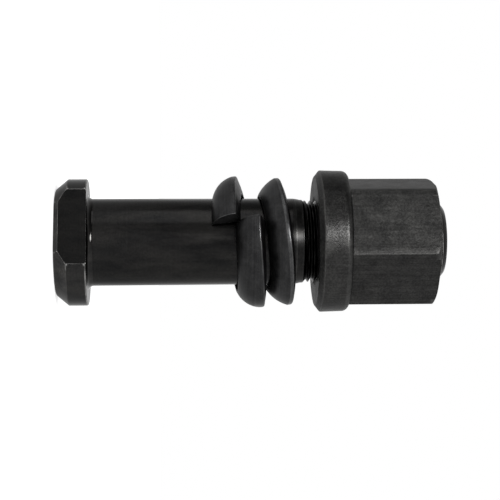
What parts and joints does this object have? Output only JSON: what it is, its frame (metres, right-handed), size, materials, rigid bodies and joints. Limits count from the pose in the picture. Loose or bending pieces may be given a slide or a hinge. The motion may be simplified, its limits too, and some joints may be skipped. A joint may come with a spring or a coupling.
{
  "type": "wheel bolt",
  "caption": "Wheel bolt with a round head that has one locking flat, two split conical spring rings on its shank and a hexagon nut with a flat collar",
  "frame": {"origin": "the centre of the bolt head's end face, which the bolt stands on", "axes": "+Z runs along the bolt from its head to its thread, and the head's locking flat faces -Y"},
  "size_m": [0.0382, 0.0382, 0.1043],
  "materials": {
    "bolt_black_steel": "black phosphated and oiled, satin",
    "ring_phosphated_steel": "black phosphated, satin",
    "nut_phosphated_steel": "black phosphated over a forged surface, satin"
  },
  "bodies": {
    "bolt": {"bolt": "bolt_black_steel", "lower_spring_ring": "ring_phosphated_steel", "upper_spring_ring": "ring_phosphated_steel"},
    "nut": {"nut": "nut_phosphated_steel"}
  },
  "joints": [
    {"name": "nut_turn", "type": "hinge", "parent": "bolt", "child": "nut", "pos_m": [0, 0, 0.0856], "axis": [0, 0, 1], "continuous": true}
  ]
}
